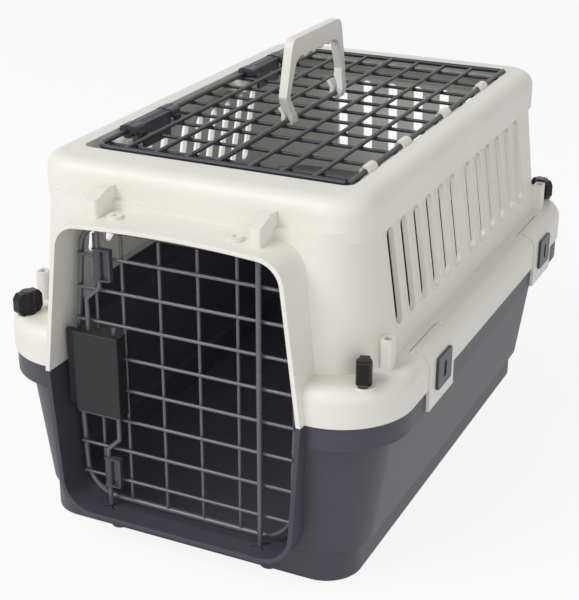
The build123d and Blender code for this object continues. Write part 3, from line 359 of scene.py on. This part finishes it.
# Roof latch grips: the pad between the end caps is pebbled so a thumb can turn it
pebbles = dict(
    capMm=14.2, edgeMm=2.0, wideMm=10.2, belowCapMm=1.84, pitchMm=1.5, rowShare=0.87,
    halfMm=(0.62, 0.62, 0.34), rings=5, sides=8, sizeSwing=0.2, turnSwing=3.0, seed=11,
)  # the pad lies between the two caps and a little below their tops
pebble = pillow("pebble", pebbles["halfMm"], pebbles["rings"], pebbles["sides"])
for end in ("front", "rear"):
    low, high = looseBoxes("lid_latch_" + end)[0]
    pitch = pebbles["pitchMm"] * mm
    padX = low.x + pebbles["edgeMm"] * mm
    padZ = high.z - pebbles["belowCapMm"] * mm
    spots = []
    row = 0
    y = low.y + pebbles["capMm"] * mm
    while y < high.y - pebbles["capMm"] * mm:
        x = padX + (row % 2) * pitch / 2
        while x < padX + pebbles["wideMm"] * mm:
            spots.append((x, y, padZ))
            x += pitch
        y += pitch * pebbles["rowShare"]
        row += 1
    latch = "lid_latch_" + end
    repeated("latchPebbles" + end.title(), pebble, spots, pebbles, "greyNylon", latch)
print("latch pads pebbled")

# Screw heads of the latch housing: the cross slot for the driver is not cut; a black cross laid on each
# head is painted shade of the slot
cross = dict(
    armMm=2.0, halfWideMm=0.32, deepMm=0.25, proudMm=0.02,
    sizeSwing=0.0, turnSwing=0.0, seed=3, smooth=False,
)


def crossPrism(name):
    arm = cross["armMm"] * mm
    wide = cross["halfWideMm"] * mm
    outline = [
        (wide, wide), (wide, arm), (-wide, arm), (-wide, wide), (-arm, wide), (-arm, -wide),
        (-wide, -wide), (-wide, -arm), (wide, -arm), (wide, -wide), (arm, -wide), (arm, wide),
    ]
    front = -cross["proudMm"] * mm
    back = cross["deepMm"] * mm
    verts = [(x, front, z) for x, z in outline] + [(x, back, z) for x, z in outline]
    count = len(outline)
    faces = [tuple(range(count)), tuple(range(2 * count - 1, count - 1, -1))]
    faces += [((i + 1) % count, i, count + i, count + (i + 1) % count) for i in range(count)]
    return meshObject(name, verts, faces)


def outward(made):
    work = bmesh.new()
    work.from_mesh(made.data)
    bmesh.ops.recalc_face_normals(work, faces=work.faces)
    work.to_mesh(made.data)
    work.free()


screwCross = crossPrism("screwCross")
outward(screwCross)
heads = [((low.x + high.x) / 2, low.y, (low.z + high.z) / 2) for low, high in looseBoxes("latch_screws")]
# black cross on each head: painted shade standing in for the driver slot's recess
repeated("latchScrewSlots", screwCross, heads, cross, "blackAcetal", "door")
for shape in (doorNugget, lidNugget, pebble, screwCross):
    bpy.data.objects.remove(shape)
print("nodes dressed")

# Studio: a white paper sweep whose own light only the camera, reflections and clear parts see
studio = dict(
    floorSize=40, floorColour="FAFAFA", floorRoughness=0.9, floorSpecular=0.1, floorGlow=0.88,
    worldLevel=0.42,
)


def seenDirectly(tree):  # 1 where the camera, a reflection or a transmission looks
    rays = addNode(tree, "ShaderNodeLightPath").outputs
    share = rays["Is Camera Ray"]
    for ray in ("Is Glossy Ray", "Is Transmission Ray"):
        share = addNode(tree, "ShaderNodeMath", {0: share, 1: rays[ray]}, operation="MAXIMUM").outputs[0]
    return share


bpy.ops.mesh.primitive_plane_add(size=studio["floorSize"])
floor = bpy.context.object
floor.name = "studioFloor"
floorFinish = bpy.data.materials.new("paperSweep")
floorFinish.use_nodes = True
tree = floorFinish.node_tree
paper = tree.nodes["Principled BSDF"]
paper.inputs["Base Color"].default_value = toLinear(studio["floorColour"])
paper.inputs["Roughness"].default_value = studio["floorRoughness"]
paper.inputs["Specular IOR Level"].default_value = studio["floorSpecular"]
share = addNode(
    tree, "ShaderNodeMath", {0: seenDirectly(tree), 1: studio["floorGlow"]}, operation="MULTIPLY"
)
glow = addNode(tree, "ShaderNodeEmission", {"Color": (1, 1, 1, 1), "Strength": 1.0})
mixed = addNode(tree, "ShaderNodeMixShader", {
    0: share.outputs[0], 1: paper.outputs[0], 2: glow.outputs[0],
})
tree.links.new(mixed.outputs[0], tree.nodes["Material Output"].inputs["Surface"])
floor.data.materials.append(floorFinish)

world = bpy.data.worlds.new("studioWorld")
scene.world = world
world.use_nodes = True
tree = world.node_tree
tree.nodes.clear()
soft = addNode(tree, "ShaderNodeBackground", {"Color": (1, 1, 1, 1), "Strength": studio["worldLevel"]})
white = addNode(tree, "ShaderNodeBackground", {"Color": (1, 1, 1, 1), "Strength": 1.0})
mixed = addNode(tree, "ShaderNodeMixShader", {
    0: seenDirectly(tree), 1: soft.outputs[0], 2: white.outputs[0],
})
addNode(tree, "ShaderNodeOutputWorld", {"Surface": mixed.outputs[0]})

aimPoint = Vector((0, 0, 0.15))  # the carrier's middle
lamps = {
    "keyLamp": dict(place=(-1.1, -1.7, 2.1), size=1.5, power=36),
    "frontLamp": dict(place=(1.3, -1.7, 0.9), size=1.2, power=7),
}
for name, lamp in lamps.items():
    data = bpy.data.lights.new(name, "AREA")
    data.size = lamp["size"]
    data.energy = lamp["power"]
    holder = bpy.data.objects.new(name, data)
    scene.collection.objects.link(holder)
    holder.location = lamp["place"]
    holder.rotation_euler = (aimPoint - holder.location).to_track_quat("-Z", "Y").to_euler()

view = dict(
    place=(0.4498, -0.9849, 0.5876), pitch=-23.4, yaw=25.7,
    lens=83.75, sensor=36, shiftX=0.0097, nearClip=0.01,
)
cameraData = bpy.data.cameras.new("camera")
cameraData.sensor_width = view["sensor"]
cameraData.lens = view["lens"]
cameraData.shift_x = view["shiftX"]
cameraData.clip_start = view["nearClip"]
camera = bpy.data.objects.new("camera", cameraData)
scene.collection.objects.link(camera)
camera.location = view["place"]
camera.rotation_euler = (math.radians(90 + view["pitch"]), 0, math.radians(view["yaw"]))
scene.camera = camera
scene.view_settings.view_transform = "Standard"
print("studio ready")
